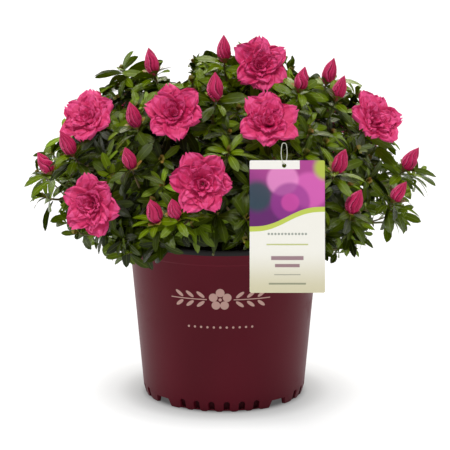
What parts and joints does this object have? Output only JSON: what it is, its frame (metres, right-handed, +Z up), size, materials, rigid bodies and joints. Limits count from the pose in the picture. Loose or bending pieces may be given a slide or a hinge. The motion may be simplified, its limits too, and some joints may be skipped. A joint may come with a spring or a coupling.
{
  "type": "potted azalea shrub",
  "caption": "Low, rounded evergreen azalea in bud and double bloom, in a tapered round nursery pot with a blank hang tag.",
  "frame": {"origin": "centre of the pot's foot, on the surface that it stands on", "axes": "+Z up along the pot's axis; -Y towards the side seen in the picture, with the hang tag; +X to its right"},
  "size_m": [0.6179, 0.6404, 0.545],
  "materials": {
    "pot_plastic": "satin burgundy moulded plastic, black inside and on the lip",
    "soil": "moist bark-based potting mix",
    "bark": "grey-brown bark, olive on the young twigs",
    "foliage": "glossy dark green leaves with hot pink blooms and buds",
    "card": "smooth coated card",
    "tie": "thin white plastic loop"
  },
  "bodies": {
    "root": {"pot": "pot_plastic", "soil": "soil", "main_stem": "bark", "bough_near_low_middle": "bark", "foliage_near_low_middle": "foliage", "bough_near_low_left": "bark", "foliage_near_low_left": "foliage", "bough_near_low_side": "bark", "foliage_near_low_side": "foliage", "bough_near_low_right": "bark", "foliage_near_low_right": "foliage", "bough_near_low_corner": "bark", "foliage_near_low_corner": "foliage", "bough_near_top_left": "bark", "foliage_near_top_left": "foliage", "bough_near_upper_left": "bark", "foliage_near_upper_left": "foliage", "bough_near_upper_middle": "bark", "foliage_near_upper_middle": "foliage", "bough_near_top_right": "bark", "foliage_near_top_right": "foliage", "bough_near_upper_centre": "bark", "foliage_near_upper_centre": "foliage", "bough_near_upper_right": "bark", "foliage_near_upper_right": "foliage", "bough_far_low_middle": "bark", "foliage_far_low_middle": "foliage", "bough_far_low_left": "bark", "foliage_far_low_left": "foliage", "bough_far_low_side": "bark", "foliage_far_low_side": "foliage", "bough_far_low_right": "bark", "foliage_far_low_right": "foliage", "bough_far_low_corner": "bark", "foliage_far_low_corner": "foliage", "bough_far_top_left": "bark", "foliage_far_top_left": "foliage", "bough_far_upper_left": "bark", "foliage_far_upper_left": "foliage", "bough_far_upper_middle": "bark", "foliage_far_upper_middle": "foliage", "bough_far_top_right": "bark", "foliage_far_top_right": "foliage", "bough_far_upper_centre": "bark", "foliage_far_upper_centre": "foliage", "bough_far_upper_right": "bark", "foliage_far_upper_right": "foliage", "hang_tag": "card", "hang_tag_tie": "tie"}
  },
  "joints": []
}
